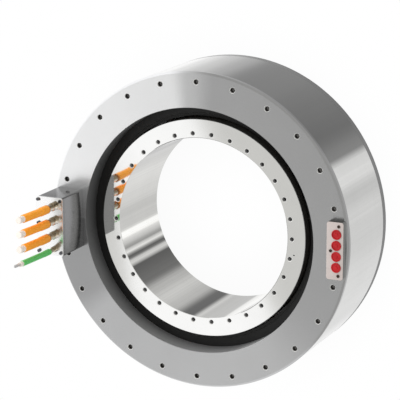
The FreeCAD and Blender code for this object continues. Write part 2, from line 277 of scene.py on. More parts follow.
# Shader nodes
class Nodes:
    """A node tree with short calls for the nodes that the materials share."""

    def __init__(self, tree):
        self.tree = tree
        tree.nodes.clear()

    def add(self, kind, settings=None, **inputs):
        node = self.tree.nodes.new(kind)
        for key, value in (settings or {}).items():
            setattr(node, key, value)
        for key, value in inputs.items():
            self.set(node, key.replace("_", " "), value)
        return node

    def set(self, node, key, value):
        socket = node.inputs[int(key)] if key.isdigit() else node.inputs[key]
        if isinstance(value, bpy.types.NodeSocket):
            self.tree.links.new(value, socket)
        else:
            socket.default_value = value

    def math(self, operation, a, b=0.0, c=0.0):
        node = self.add("ShaderNodeMath", {"operation": operation})
        for key, item in zip("012", (a, b, c)):
            self.set(node, key, item)
        return node.outputs[0]

    def normalize(self, vector):
        node = self.add("ShaderNodeVectorMath", {"operation": "NORMALIZE"})
        self.set(node, "0", vector)
        return node.outputs[0]

    def span(self, value, low, high, to_low=0.0, to_high=1.0, smooth=True):
        kind = "SMOOTHSTEP" if smooth else "LINEAR"
        node = self.add("ShaderNodeMapRange", {"interpolation_type": kind})
        for key, item in zip("01234", (value, low, high, to_low, to_high)):
            self.set(node, key, item)
        return node.outputs[0]

    def mix(self, factor, a, b, blend="MIX"):
        node = self.add("ShaderNodeMix", {"data_type": "RGBA", "blend_type": blend})
        for key, item in (("0", factor), ("6", a), ("7", b)):
            self.set(node, key, item)
        return node.outputs[2]

    def noise(self, vector, scale, detail=3.0, roughness=0.55):
        node = self.add(
            "ShaderNodeTexNoise", Vector=vector, Scale=scale, Detail=detail, Roughness=roughness
        )
        return node.outputs["Fac"]

    def varied(self, middle, spread, noise):
        """A value that a noise drives about its middle, by up to the spread's share of it."""
        low, high = middle * (1 - spread), middle * (1 + spread)
        return self.span(noise, NOISE_LOW, NOISE_HIGH, low, high, smooth=False)

    def ramp(self, value, stops):
        """A soft ramp over 0 to 1, from stops of (share, brightness or colour)."""
        node = self.add("ShaderNodeValToRGB")
        self.set(node, "0", value)
        ramp = node.color_ramp
        ramp.interpolation = "EASE"
        while len(ramp.elements) > 1:
            ramp.elements.remove(ramp.elements[-1])
        for i, (share, tone) in enumerate(stops):
            stop = ramp.elements[0] if i == 0 else ramp.elements.new(share)
            stop.position = share
            stop.color = (*tone, 1) if isinstance(tone, tuple) else (tone, tone, tone, 1)
        return node.outputs[0]

    def bump(self, height, distance):
        return self.add("ShaderNodeBump", Height=height, Distance=distance).outputs[0]

    def mix_shaders(self, factor, first, second):
        node = self.add("ShaderNodeMixShader")
        for key, item in zip("012", (factor, first, second)):
            self.set(node, key, item)
        return node.outputs[0]


def new_material(name):
    material = bpy.data.materials.new(name)
    material.use_nodes = True
    return material, Nodes(material.node_tree)


def finish_surface(nodes, **inputs):
    """The principled shader with these inputs, linked to the output. Keys use _ for a space."""
    shader = nodes.add("ShaderNodeBsdfPrincipled", **inputs)
    output = nodes.add("ShaderNodeOutputMaterial")
    nodes.tree.links.new(shader.outputs[0], output.inputs[0])
    return shader


def place(nodes):
    """The shaded point in the part's frame, as its vector and its three parts."""
    position = nodes.add("ShaderNodeNewGeometry").outputs["Position"]
    parts = nodes.add("ShaderNodeSeparateXYZ", Vector=position).outputs
    return position, parts[0], parts[1], parts[2]


def azimuth(nodes, x, y):
    """The point's azimuth about the axis as a share of a turn, 0 at -X, growing through -Y."""
    angle = nodes.math("ARCTAN2", y, x)
    turns = nodes.math("DIVIDE", angle, TAU)
    return nodes.math("ADD", turns, 0.5)


def turn(degrees):
    """The ramp place of an azimuth in degrees from +X."""
    return ((degrees + 180) % 360) / 360


def grey(nodes, value):
    return nodes.add("ShaderNodeCombineColor", Red=value, Green=value, Blue=value).outputs[0]


def ring_metal(
    name, bands, roughness, tint=(1.0, 1.0, 1.0), turning=0.03, axial=0.0, metallic=1.0, foot=None
):
    """Turned metal with painted reflections: its brightness runs round the ring in soft bands.
    Turning gives how far the fine marks that run round it change its shade, and axial the same for
    streaks
    along the axis. A foot is (low, high, share): painted shade, darkening down to that share over
    that height."""
    material, nodes = new_material(name)
    position, x, y, z = place(nodes)
    squares = nodes.math("ADD", nodes.math("MULTIPLY", x, x), nodes.math("MULTIPLY", y, y))
    radius = nodes.math("SQRT", squares)
    # Painted reflections: brightness bands by azimuth
    tone = nodes.ramp(azimuth(nodes, x, y), [(turn(angle), level) for angle, level in bands])
    tone = nodes.mix(1.0, tone, (*tint, 1), "MULTIPLY")
    across = nodes.add("ShaderNodeCombineXYZ", X=radius, Y=z).outputs[0]
    marks = nodes.noise(across, TURNING_SCALE, 4.0)
    flat = nodes.add("ShaderNodeCombineXYZ", X=x, Y=y).outputs[0]
    outward = nodes.normalize(flat)
    streaks = nodes.noise(outward, AXIAL_SCALE, 5.0, 0.7)
    cloud = nodes.noise(position, RING_CLOUD)
    shade = nodes.varied(1.0, turning, marks)
    shade = nodes.math("MULTIPLY", shade, nodes.varied(1.0, axial, streaks))
    shade = nodes.math("MULTIPLY", shade, nodes.varied(1.0, CLOUD_SHARE, cloud))
    # Painted shade: darker towards the foot
    if foot:
        shade = nodes.math("MULTIPLY", shade, nodes.span(z, foot[0], foot[1], foot[2], 1.0))
    colour = nodes.mix(1.0, tone, grey(nodes, shade), "MULTIPLY")
    finish_surface(
        nodes,
        Base_Color=colour,
        Metallic=metallic,
        Roughness=nodes.varied(roughness, MARK_ROUGHNESS, marks),
        Normal=nodes.bump(marks, TURNING_DEPTH),
    )
    return material


def plain_metal(name, colour, roughness, variation=0.06):
    """Metal with one colour, a fine grain and faint cloudiness."""
    material, nodes = new_material(name)
    position, _, _, _ = place(nodes)
    grains = nodes.noise(position, METAL_GRAIN)
    cloud = nodes.noise(position, METAL_CLOUD, 2.0)
    tone = nodes.varied(1.0, variation, cloud)
    finish_surface(
        nodes,
        Base_Color=nodes.mix(1.0, grey(nodes, tone), (*colour, 1), "MULTIPLY"),
        Metallic=1.0,
        Roughness=nodes.varied(roughness, METAL_ROUGHNESS, grains),
        Normal=nodes.bump(grains, METAL_GRAIN_DEPTH),
    )
    return material


def plastic(
    name, colour, roughness, grain=PLASTIC_GRAIN, depth=PLASTIC_GRAIN_DEPTH, variation=0.12,
    specular=0.5,
):
    """Moulded or extruded plastic with a fine grain."""
    material, nodes = new_material(name)
    position, _, _, _ = place(nodes)
    grains = nodes.noise(position, grain)
    cloud = nodes.noise(position, PLASTIC_CLOUD)
    tone = nodes.varied(1.0, variation, cloud)
    finish_surface(
        nodes,
        Base_Color=nodes.mix(1.0, grey(nodes, tone), (*colour, 1), "MULTIPLY"),
        Roughness=nodes.varied(roughness, PLASTIC_ROUGHNESS, grains),
        Specular_IOR_Level=specular,
        Normal=nodes.bump(grains, depth),
    )
    return material


def box_metal():
    """Satin metal with a painted reflection of the face's rim below on the box's side walls: darker
    past a slanted line that climbs from the foot of the outer corner."""
    material, nodes = new_material("satin_box")
    position, x, _, z = place(nodes)
    grains = nodes.noise(position, METAL_GRAIN)
    across = nodes.span(x, BOX_LOW.x, BOX_HIGH.x, smooth=False)
    up = nodes.span(z, BOX_LOW.z, BOX_HIGH.z, smooth=False)
    # Painted reflection of the rim: darker past the slanted line
    inward = nodes.math("MULTIPLY_ADD", up, -RIM_SLANT, across)
    tone = nodes.span(inward, -RIM_SOFTNESS, RIM_SOFTNESS, RIM_DARK, RIM_LIGHT)
    finish_surface(
        nodes,
        Base_Color=nodes.mix(1.0, grey(nodes, tone), BOX_COLOUR, "MULTIPLY"),
        Metallic=1.0,
        Roughness=nodes.varied(BOX_ROUGHNESS, METAL_ROUGHNESS, grains),
        Normal=nodes.bump(grains, METAL_GRAIN_DEPTH),
    )
    return material


def gland_metal():
    """Turned nickel with painted reflections: warm and dark on its +Y side and bright on its -Y
    side.
    """
    material, nodes = new_material("nickel_gland")
    normal = nodes.add("ShaderNodeNewGeometry").outputs["Normal"]
    upward = nodes.add("ShaderNodeSeparateXYZ", Vector=normal).outputs[1]
    # Painted reflections: colour by the side the surface faces
    share = nodes.span(upward, -1.0, 1.0, smooth=False)
    finish_surface(nodes, Base_Color=nodes.ramp(share, GLAND_REFLECTION_TONES), Metallic=1.0, Roughness=0.16)
    return material


# Painted reflections and shade round each ring, in rows of (azimuth in degrees from +X, brightness)
FACE_REFLECTION_BANDS = [
    (-180, 0.37), (-150, 0.38), (-138, 0.53), (-60, 0.575), (-28, 0.46), (82, 0.46), (93, 0.62),
    (101, 0.93), (162, 0.97), (179.9, 0.50),
]
RECESS_SHADE_BANDS = [
    (-180, 0.14), (-150, 0.22), (-100, 0.29), (-74, 0.29), (-60, 0.42), (0, 0.20), (100, 0.17),
    (130, 0.145), (155, 0.12), (179.9, 0.14),
]
COLLAR_REFLECTION_BANDS = [
    (-180, 0.6), (-60, 0.90), (-48, 0.88), (-32, 0.45), (-18, 0.36), (0, 0.27), (28, 0.27),
    (42, 0.15), (60, 0.19), (78, 0.22), (90, 0.40), (104, 0.90), (179.9, 0.6),
]
REAR_REFLECTION_BANDS = [
    (-180, 0.30), (-66, 0.10), (-30, 0.12), (0, 0.17), (28, 0.19), (42, 0.13), (60, 0.15),
    (78, 0.19), (104, 0.45), (179.9, 0.30),
]
SLEEVE_REFLECTION_BANDS = [
    (-180, 0.42), (-160, 0.36), (-140, 0.62), (-120, 0.46), (-88, 0.50), (-66, 0.70), (-58, 0.60),
    (-50, 0.84), (-42, 0.62), (-32, 0.50), (-24, 0.59), (-10, 0.60), (0, 0.54), (11, 0.57),
    (17, 0.48), (23, 0.66), (28, 0.60), (31, 0.17), (40, 0.088), (50, 0.10), (62, 0.105),
    (76, 0.06), (83, 0.20), (91, 0.34), (98, 0.55), (104, 0.92), (132, 0.97), (155, 0.55),
    (179.9, 0.42),
]
BORE_REFLECTION_BANDS = [
    (-180, 0.55), (-172, 0.56), (-170.5, 1.0), (-168, 1.0), (-165, 0.62), (-160, 0.28),
    (-158, 0.85), (-156, 0.30), (-154, 0.0), (-152, 0.55), (-150, 0.66), (-148, 0.09),
    (-136, 0.13), (-129, 0.42), (-120, 0.55), (-110, 0.44), (-101.5, 0.055), (-97, 0.03),
    (-93, 0.55), (-89.5, 0.42), (-86, 0.41), (-76, 0.35), (-73, 0.82), (-66, 0.98), (-57, 0.74),
    (0, 0.70), (110, 0.10), (130, 0.13), (137, 0.45), (155, 0.66), (170, 0.62), (177, 0.52),
]

MATERIALS = {
    # The rings' colours carry the painted reflections of these tables
    "face": ring_metal("ground_face", FACE_REFLECTION_BANDS, 0.24, tint=(0.985, 0.99, 1.0), turning=0.008),
    "collar": ring_metal("collar_edge", COLLAR_REFLECTION_BANDS, 0.2),
    "sleeve": ring_metal("turned_sleeve", SLEEVE_REFLECTION_BANDS, 0.14, tint=(1.0, 1.0, 0.985), axial=0.04),
    "bore": ring_metal("polished_bore", BORE_REFLECTION_BANDS, 0.08, tint=(1.0, 0.995, 0.965), axial=0.06),
    # Rear ring: painted reflection bands, and painted shade darkening towards the floor
    "rear": ring_metal(
        "dull_rear", REAR_REFLECTION_BANDS, 0.4, foot=(REAR_LOW.z, REAR_LOW.z + REAR_SHADE_HEIGHT, 0.6)
    ),
    # Bore wall of the flange: painted shade and painted reflection of the dark potting, darker down
    # into the recess
    "recess": ring_metal(
        "recess_wall", RECESS_SHADE_BANDS, 0.35, tint=(0.97, 0.98, 1.0), metallic=0.0,
        foot=(POTTING_HIGH.z, FRONT, 0.65),
    ),
    "rotor_face": plain_metal("polished_rotor_face", (0.94, 0.94, 0.93), 0.05, variation=0.015),
    # Near-black: painted shade of the recess on the rotor's steel side; the resin band over the
    # magnets shares it
    "rotor_side": plastic("rotor_side", (0.055, 0.053, 0.048), 0.45),
    # Tapped holes darker inside: painted shade of their depth
    "rotor_hole": plastic("tapped_rotor_hole", (0.40, 0.40, 0.40), 0.5),
    "hole": plain_metal("tapped_hole", (0.20, 0.195, 0.19), 0.4),
    # Pale non-metal on the holes' metal chamfers: a painted highlight
    "hole_mouth_glint": plastic("hole_mouth_glint", (0.8, 0.8, 0.79), 0.4),
    "potting": plastic(
        "cast_resin", (0.012, 0.012, 0.012), 0.42, grain=500.0, depth=RESIN_GRAIN_DEPTH, specular=0.3
    ),
    "resin_step": plastic("resin_step", (0.05, 0.05, 0.048), 0.4, specular=0.3),
    "box": box_metal(),
    "plate": plain_metal("polished_plate", (0.97, 0.97, 0.97), 0.2, variation=0.01),
    "screw": plain_metal("dark_screw", (0.13, 0.13, 0.14), 0.3),
    "black_screw": plain_metal("black_screw", (0.07, 0.05, 0.04), 0.35),
    "port": plastic("blasted_port_block", (0.50, 0.44, 0.42), 0.42, grain=1600.0, variation=0.04),
    # Dark metal on the port block's side walls: painted shade
    "port_side_shade": plain_metal("port_side_shade", (0.15, 0.15, 0.145), 0.3),
    "gland": gland_metal(),
    "orange": plastic("orange_sheath", (1.0, 0.38, 0.03), 0.45, variation=0.05, specular=0.25),
    "orange_rim": plastic("orange_rim", (0.46, 0.15, 0.018), 0.45),
    "green": plastic("green_sheath", (0.12, 0.56, 0.15), 0.45, variation=0.05, specular=0.25),
    "pale": plastic("pale_insulation", (0.86, 0.78, 0.72), 0.5, variation=0.05),
    "tinned": plain_metal("tinned_strands", (0.72, 0.72, 0.72), 0.3),
    "red": plastic("red_plug", (0.44, 0.010, 0.014), 0.3, variation=0.2, specular=0.3),
    "copper": plain_metal("enamelled_copper", (0.62, 0.25, 0.10), 0.35),
    "laminations": plain_metal("laminations", (0.25, 0.25, 0.26), 0.45),
    "magnet": plain_metal("coated_magnet", (0.05, 0.05, 0.055), 0.4),
}


# Meshes
def added(name, data):
    """A new object of the scene."""
    thing = bpy.data.objects.new(name, data)
    bpy.context.scene.collection.objects.link(thing)
    return thing


def as_mesh(name, mesh_data):
    mesh = bpy.data.meshes.new(name)
    mesh_data.to_mesh(mesh)
    mesh_data.free()
    return mesh


def piece(name, mesh, body, materials, replaced=()):
    """A finished mesh as an object that rides on a body and takes these materials."""
    thing = added(name, mesh)
    if not mesh.materials:
        for key in materials:
            mesh.materials.append(MATERIALS[key])
    mesh.polygons.foreach_set("use_smooth", [True] * len(mesh.polygons))
    mesh.set_sharp_from_angle(angle=SHARP_ANGLE)
    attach(thing, body)
    if replaced:
        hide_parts(*replaced)
    return thing


def turned_mesh(name, profile, steps, centre=(0.0, 0.0), closed=True):
    """A mesh turned about an upright axis. Profile rows are (radius, height, material of the band
    up to the next row); a radius may be a function of the angle. An open profile is capped."""
    x0, y0 = centre
    mesh_data = bmesh.new()
    loops = []
    for radius, height, _ in profile:
        loop = []
        for i in range(steps):
            angle = TAU * i / steps
            r = radius(angle) if callable(radius) else radius
            x, y = x0 + r * math.cos(angle), y0 + r * math.sin(angle)
            loop.append(mesh_data.verts.new((x, y, height)))
        loops.append(loop)
    last = len(profile) if closed else len(profile) - 1
    for k in range(last):
        low, high = loops[k], loops[(k + 1) % len(profile)]
        for i in range(steps):
            j = (i + 1) % steps
            face = mesh_data.faces.new((low[i], low[j], high[j], high[i]))
            face.material_index = profile[k][2]
    if not closed:
        mesh_data.faces.new(loops[0]).material_index = profile[0][2]
        mesh_data.faces.new(loops[-1]).material_index = profile[-1][2]
    bmesh.ops.recalc_face_normals(mesh_data, faces=mesh_data.faces)
    return as_mesh(name, mesh_data)


def joined(name, meshes):
    """Several meshes as one."""
    mesh_data = bmesh.new()
    for mesh in meshes:
        mesh_data.from_mesh(mesh)
    return as_mesh(name, mesh_data)


def on_circle(radius, degrees):
    angle = math.radians(degrees)
    return radius * math.cos(angle), radius * math.sin(angle)


def bolt_places():
    """Where the flange's bolt holes are: every step but the two under the blocks."""
    covered = (0, BOLT_POSITIONS // 2)
    turns = [i * 360 / BOLT_POSITIONS for i in range(BOLT_POSITIONS) if i not in covered]
    return [on_circle(BOLT_CIRCLE, degrees) for degrees in turns]


def rotor_bolt_places():
    return [on_circle(ROTOR_BOLT_CIRCLE, i * 360 / ROTOR_BOLTS) for i in range(ROTOR_BOLTS)]


def hole_cutter(place_on_face, radius, mouth, top, depth, throat=0.0):
    """A cutter for one blind hole with a drill point, a countersunk throat as deep as it is wide
    and a chamfered mouth."""
    above = top + mouth
    tip = DRILL_TIP * radius
    profile = [(tip, top - depth - DRILL_POINT * radius, 0), (radius, top - depth, 0)]
    if throat:
        profile.append((radius, top - mouth - throat, 0))
    profile.append((radius + throat, top - mouth, 1))
    profile.append((radius + throat + 2 * mouth, above, 1))
    profile.append((tip, above, 1))
    return turned_mesh("cutter", profile, HOLE_STEPS, place_on_face, closed=False)


def with_holes(mesh, cutters, materials, hole, mouth):
    """The mesh with the cutters taken out. Hole and mouth are two of the materials' keys."""
    tool_mesh = joined("tool", cutters)
    for polygon in tool_mesh.polygons:
        polygon.material_index = materials.index(mouth if polygon.material_index == 1 else hole)
    body, tool = added("body", mesh), added("tool", tool_mesh)
    for thing in (body, tool):
        for key in materials:
            thing.data.materials.append(MATERIALS[key])
    cut = body.modifiers.new("holes", "BOOLEAN")
    cut.operation = "DIFFERENCE"
    cut.solver = "EXACT"
    cut.object = tool
    finished = body.evaluated_get(bpy.context.evaluated_depsgraph_get())
    result = bpy.data.meshes.new_from_object(finished)
    for thing in (body, tool):
        bpy.data.objects.remove(thing)
    return result


def rounded_outline(low, high, corner_low_x, corner_high_x, inset=0.0):
    """The corners of a rounded rectangle in x and y, counter-clockwise, drawn in by an inset."""
    outline = []
    corners = [
        (high.x, high.y, corner_high_x, 0),
        (low.x, high.y, corner_low_x, 90),
        (low.x, low.y, corner_low_x, 180),
        (high.x, low.y, corner_high_x, 270),
    ]
    for x, y, radius, start in corners:
        sign_x = 1 if x == high.x else -1
        sign_y = 1 if y == high.y else -1
        cx, cy = x - sign_x * radius, y - sign_y * radius
        for i in range(CORNER_STEPS + 1):
            dx, dy = on_circle(radius - inset, start + 90 * i / CORNER_STEPS)
            outline.append((cx + dx, cy + dy))
    return outline


def slab_mesh(name, low, high, corner_low_x, corner_high_x, edge, bottom_edge=SLAB_FOOT_EDGE):
    """A block with rounded upright corners and softened top and bottom edges. Its top has the
    first material and its walls the second."""
    bend = EDGE_BEND * edge
    rows = [
        (low.z, bottom_edge),
        (low.z + bottom_edge, 0.0),
        (high.z - edge, 0.0),
        (high.z - bend, bend),
        (high.z, edge),
    ]
    mesh_data = bmesh.new()
    loops = []
    for height, inset in rows:
        outline = rounded_outline(low, high, corner_low_x, corner_high_x, inset)
        loops.append([mesh_data.verts.new((x, y, height)) for x, y in outline])
    for lower, upper in zip(loops, loops[1:]):
        count = len(lower)
        for i in range(count):
            j = (i + 1) % count
            face = mesh_data.faces.new((lower[i], lower[j], upper[j], upper[i]))
            face.material_index = 0 if lower is loops[-2] else 1
    mesh_data.faces.new(loops[0]).material_index = 1
    mesh_data.faces.new(loops[-1])
    bmesh.ops.remove_doubles(mesh_data, verts=mesh_data.verts, dist=1e-7)
    bmesh.ops.recalc_face_normals(mesh_data, faces=mesh_data.faces)
    return as_mesh(name, mesh_data)


def polygon_radius(sides, flat, limit=None):
    """A radius as a function of the angle that gives a regular polygon with its first flat on +X,
    its corners cropped at the limit."""
    def radius(angle):
        step = TAU / sides
        off = (angle + step / 2) % step - step / 2
        reach = flat / math.cos(off)
        return min(reach, limit) if limit else reach
    return radius


# Stator rings
def front_flange():
    top, low, spigot = FRONT, JACKET_HIGH.z, FLANGE_LOW.z
    face, collar, recess = 0, 1, 2
    # The recess material, painted shade, lines the bore walls and the soft inner edge
    profile = [
        (FLANGE_BORE, spigot, recess),
        (FLANGE_BORE, top - SOFT_EDGE, recess),
        (FLANGE_BORE + SOFT_EDGE, top, face),
        (STATOR_RADIUS - FLANGE_CHAMFER, top, face),
        (STATOR_RADIUS, top - FLANGE_CHAMFER, collar),
        (STATOR_RADIUS, low + SEAM, collar),
        (STATOR_RADIUS - SEAM, low, collar),
        (JACKET_BORE, low, recess),
        (JACKET_BORE, spigot, recess),
    ]
    mesh = turned_mesh("front_flange_turned", profile, RING_STEPS)
    cutters = [
        hole_cutter(where, BOLT_HOLE, BOLT_MOUTH, top, FLANGE_HOLE_DEPTH, BOLT_THROAT)
        for where in bolt_places()
    ]
    keys = ("face", "collar", "recess", "hole", "hole_mouth_glint")
    mesh = with_holes(mesh, cutters, keys, "hole", "hole_mouth_glint")
    mesh.name = "front_flange_turned"
    return piece("front_flange_turned", mesh, "stator", keys, ["front_flange"])


def cooling_jacket():
    low, top = JACKET_LOW.z, JACKET_HIGH.z
    profile = [
        (JACKET_BORE, low, 0),
        (JACKET_BORE, top, 0),
        (STATOR_RADIUS - SEAM, top, 0),
        (STATOR_RADIUS, top - SEAM, 0),
        (STATOR_RADIUS, low + SEAM, 0),
        (STATOR_RADIUS - SEAM, low, 0),
    ]
    mesh = turned_mesh("cooling_jacket_turned", profile, RING_STEPS)
    return piece(
        "cooling_jacket_turned", mesh, "stator", ("sleeve",), ["cooling_jacket"]
    )


def rear_ring():
    low, top = REAR_LOW.z, REAR_HIGH.z
    profile = [
        (POTTING_BORE, low + SOFT_EDGE, 0),
        (POTTING_BORE, top, 0),
        (STATOR_RADIUS - SEAM, top, 0),
        (STATOR_RADIUS, top - SEAM, 0),
        (STATOR_RADIUS, low + SOFT_EDGE, 0),
        (STATOR_RADIUS - SOFT_EDGE, low, 0),
        (POTTING_BORE + SOFT_EDGE, low, 0),
    ]
    mesh = turned_mesh("rear_ring_turned", profile, RING_STEPS)
    return piece("rear_ring_turned", mesh, "stator", ("rear",), ["rear_ring"])


def front_potting():
    low, top = POTTING_LOW.z, POTTING_HIGH.z
    step = POTTING_BORE + POTTING_STEP_WIDTH
    profile = [
        (POTTING_BORE, low, 0),
        (POTTING_BORE, top - POTTING_STEP_DEPTH, 0),
        (step, top - POTTING_STEP_DEPTH, 1),
        (step + POTTING_SLOPE, top, 0),
        (JACKET_BORE, top, 0),
        (JACKET_BORE, low, 0),
    ]
    mesh = turned_mesh("front_potting_cast", profile, RING_STEPS)
    keys = ("potting", "resin_step")
    return piece("front_potting_cast", mesh, "stator", keys, ["front_potting"])


# Rotor
def rotor_carrier():
    low, top = ROTOR_LOW.z, ROTOR_TOP
    collar_bottom = MAGNETS_HIGH.z + MAGNET_END_GAP
    seat = polygon_radius(MAGNET_COUNT, MAGNET_SEAT)
    face, bore, side = 0, 1, 2
    profile = [
        (ROTOR_BORE + SOFT_EDGE, low, bore),
        (ROTOR_BORE, low + SOFT_EDGE, bore),
        (ROTOR_BORE, top - SOFT_EDGE, face),
        (ROTOR_BORE + SOFT_EDGE, top, face),
        (ROTOR_RADIUS - SOFT_EDGE, top, face),
        (ROTOR_RADIUS, top - SOFT_EDGE, side),
        (ROTOR_RADIUS, collar_bottom, side),
        (seat, collar_bottom, side),
        (seat, low, side),
    ]
    mesh = turned_mesh("rotor_turned", profile, RING_STEPS - RING_STEPS % MAGNET_COUNT)
    cutters = [
        hole_cutter(where, BOLT_HOLE, HOLE_MOUTH, top, ROTOR_HOLE_DEPTH)
        for where in rotor_bolt_places()
    ]
    mark = on_circle(MARK_CIRCLE, MARK_AZIMUTH)
    cutters.append(hole_cutter(mark, MARK_HOLE, MARK_MOUTH, top, MARK_HOLE_DEPTH))
    keys = ("rotor_face", "bore", "rotor_side", "rotor_hole", "hole_mouth_glint")
    mesh = with_holes(mesh, cutters, keys, "rotor_hole", "hole_mouth_glint")
    mesh.name = "rotor_turned"
    return piece("rotor_turned", mesh, "rotor", keys, ["rotor_carrier"])


def magnet_band():
    """The resin band wound over the magnets, which fills the corners between their flat faces."""
    low, high = MAGNETS_LOW.z, MAGNETS_HIGH.z
    corners = [(BAND_INNER, low), (BAND_INNER, high), (BAND_OUTER, high), (BAND_OUTER, low)]
    profile = [(radius, height, 0) for radius, height in corners]
    mesh = turned_mesh("magnet_band", profile, RING_STEPS)
    return piece("magnet_band", mesh, "rotor", ("rotor_side",))


# Cable box and its plate
def cable_box():
    corners = (BOX_OUTER_CORNER, BOX_INNER_CORNER)
    mesh = slab_mesh("cable_box_body", BOX_LOW, BOX_HIGH, *corners, BOX_EDGE)
    piece("cable_box_body", mesh, "stator", ("box", "box"), ["cable_box"])
    mesh = slab_mesh("cable_plate_polished", PLATE_LOW, PLATE_HIGH, *corners, PLATE_EDGE)
    keys = ("plate", "box")
    piece("cable_plate_polished", mesh, "stator", keys, ["cable_plate"])


def screw_heads(name, node, count, flats, material):
    """Hexagon heads with a chamfered crown where the node's are, found from its mesh."""
    centres = node_centres(node, count)
    low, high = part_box(node)
    head = polygon_radius(6, flats / 2)
    cropped = polygon_radius(6, flats / 2, flats / 2 * CROPPED_CORNER)
    profile = [
        (head, low.z, 0),
        (head, high.z - SCREW_CROWN, 0),
        (cropped, high.z, 0),
        (flats * SCREW_DISH, high.z, 0),
        (flats * SCREW_DISH_FLOOR, high.z - SCREW_CROWN, 0),
    ]
    meshes = []
    for centre in centres:
        meshes.append(turned_mesh(name, profile, SCREW_STEPS, centre, closed=False))
    return piece(name, joined(name, meshes), "stator", (material,), [node])


def node_centres(node, count):
    """The middles, in x and y, of a node's separate solids."""
    mesh_data = bmesh.new()
    mesh_data.from_mesh(frame["nodes"][node].data)
    bmesh.ops.remove_doubles(mesh_data, verts=mesh_data.verts, dist=1e-6)
    left, centres = set(mesh_data.verts), []
    while left:
        group, edge = set(), [min(left, key=lambda v: v.index)]
        while edge:
            vertex = edge.pop()
            if vertex in group:
                continue
            group.add(vertex)
            edge.extend(e.other_vert(vertex) for e in vertex.link_edges)
        left -= group
        xs, ys = [v.co.x for v in group], [v.co.y for v in group]
        centres.append(((min(xs) + max(xs)) / 2, (min(ys) + max(ys)) / 2))
    mesh_data.free()
    if len(centres) != count:
        raise RuntimeError(f"{node} has {len(centres)} solids, not {count}")
    return sorted(centres)


# Leads
def gland(name, centre, flats, height):
    """A gland: a low hexagon foot, a groove and a smooth cap nut."""
    foot, radius = PLATE_HIGH.z, flats / 2
    hexagon = polygon_radius(6, radius, radius * GLAND_CORNER)
    cropped = polygon_radius(6, radius, radius * CROPPED_CORNER)
    profile = [
        (hexagon, foot, 0),
        (hexagon, foot + GLAND_FOOT * height, 0),
        (cropped, foot + GLAND_FOOT_TOP * height, 0),
    ]
    profile += [(share * radius, foot + climb * height, 0) for share, climb in GLAND_CAP]
    return turned_mesh(name, profile, SMALL_STEPS, centre, closed=False)


def lead_line(name, start, lean, length):
    """The lead's smooth line: the vertices of a NURBS spline through its route."""
    route = [
        start,
        start + Vector((LEAD_BOW, 0.15 * lean, 0.33 * length)),
        start + Vector((LEAD_BOW, 0.55 * lean, 0.67 * length)),
        start + Vector((0, lean, length)),
    ]
    curve = bpy.data.curves.new(name, "CURVE")
    curve.dimensions = "3D"
    spline = curve.splines.new("NURBS")
    spline.points.add(len(route) - 1)
    for point, where in zip(spline.points, route):
        point.co = (*where, 1)
    spline.order_u = 3
    spline.use_endpoint_u = True
    spline.resolution_u = LINE_STEPS
    thing = added(name, curve)
    bpy.context.view_layer.update()
    mesh = bpy.data.meshes.new_from_object(thing)
    line = [v.co.copy() for v in mesh.vertices]
    bpy.data.objects.remove(thing)
    return line


def point_on(line, distance):
    """The point at a distance along a line, and its direction there."""
    for start, end in zip(line, line[1:]):
        length = (end - start).length
        if distance <= length:
            return start.lerp(end, distance / length), (end - start).normalized()
        distance -= length
    return line[-1], (line[-1] - line[-2]).normalized()


def tube_mesh(name, line, rows, steps=SMALL_STEPS):
    """A tube along a line. Rows are (distance along it, radius, material of the band up)."""
    mesh_data = bmesh.new()
    loops = []
    for distance, radius, _ in rows:
        centre, direction = point_on(line, distance)
        across = direction.orthogonal().normalized()
        beside = direction.cross(across)
        loop = []
        for i in range(steps):
            dx, dy = on_circle(radius, 360 * i / steps)
            loop.append(mesh_data.verts.new(centre + across * dx + beside * dy))
        loops.append(loop)
    for k, (low, high) in enumerate(zip(loops, loops[1:])):
        for i in range(steps):
            j = (i + 1) % steps
            face = mesh_data.faces.new((low[i], low[j], high[j], high[i]))
            face.material_index = rows[k][2]
    mesh_data.faces.new(loops[0]).material_index = rows[0][2]
    mesh_data.faces.new(loops[-1]).material_index = rows[-2][2]
    bmesh.ops.recalc_face_normals(mesh_data, faces=mesh_data.faces)
    return as_mesh(name, mesh_data)


def power_lead(number, phase):
    """A stiff power lead: a metal neck, an orange boot and sheath, and a stripped end."""
    start = Vector((LEAD_X, LEAD_Y[number], PLATE_HIGH.z + POWER_GLAND_HEIGHT))
    name = "power_lead_" + phase + "_sheathed"
    line = lead_line(name, start, LEAD_LEAN[number], POWER_LEAD_LENGTH)
    pale, orange, rim, metal = 0, 1, 2, 3
    rows = [
        (0.0, POWER_NECK, metal),
        (POWER_BOOT_START - SQUARE_STEP, POWER_NECK, rim),
        (POWER_BOOT_START, POWER_BOOT - 0.7 * MM, rim),
        (POWER_BOOT_START + BOOT_ROUNDING, POWER_BOOT, rim),
        (POWER_RIM_END, POWER_BOOT, orange),
        (POWER_BOOT_END, POWER_BOOT, orange),
        (POWER_BOOT_END + 0.8 * MM, POWER_SHEATH, orange),
        (POWER_SHEATH_END - 1.2 * MM, POWER_SHEATH, orange),
        (POWER_SHEATH_END - SQUARE_STEP, POWER_SHEATH - 0.5 * MM, orange),
        (POWER_SHEATH_END, POWER_CORE, pale),
        (POWER_LEAD_LENGTH - 0.9 * MM, POWER_CORE, pale),
        (POWER_LEAD_LENGTH, POWER_CORE - 0.8 * MM, pale),
    ]
    mesh = tube_mesh(name, line, rows)
    keys = ("pale", "orange", "orange_rim", "gland")
    lead = piece(name, mesh, "stator", keys, ["power_lead_" + phase])
    return lead


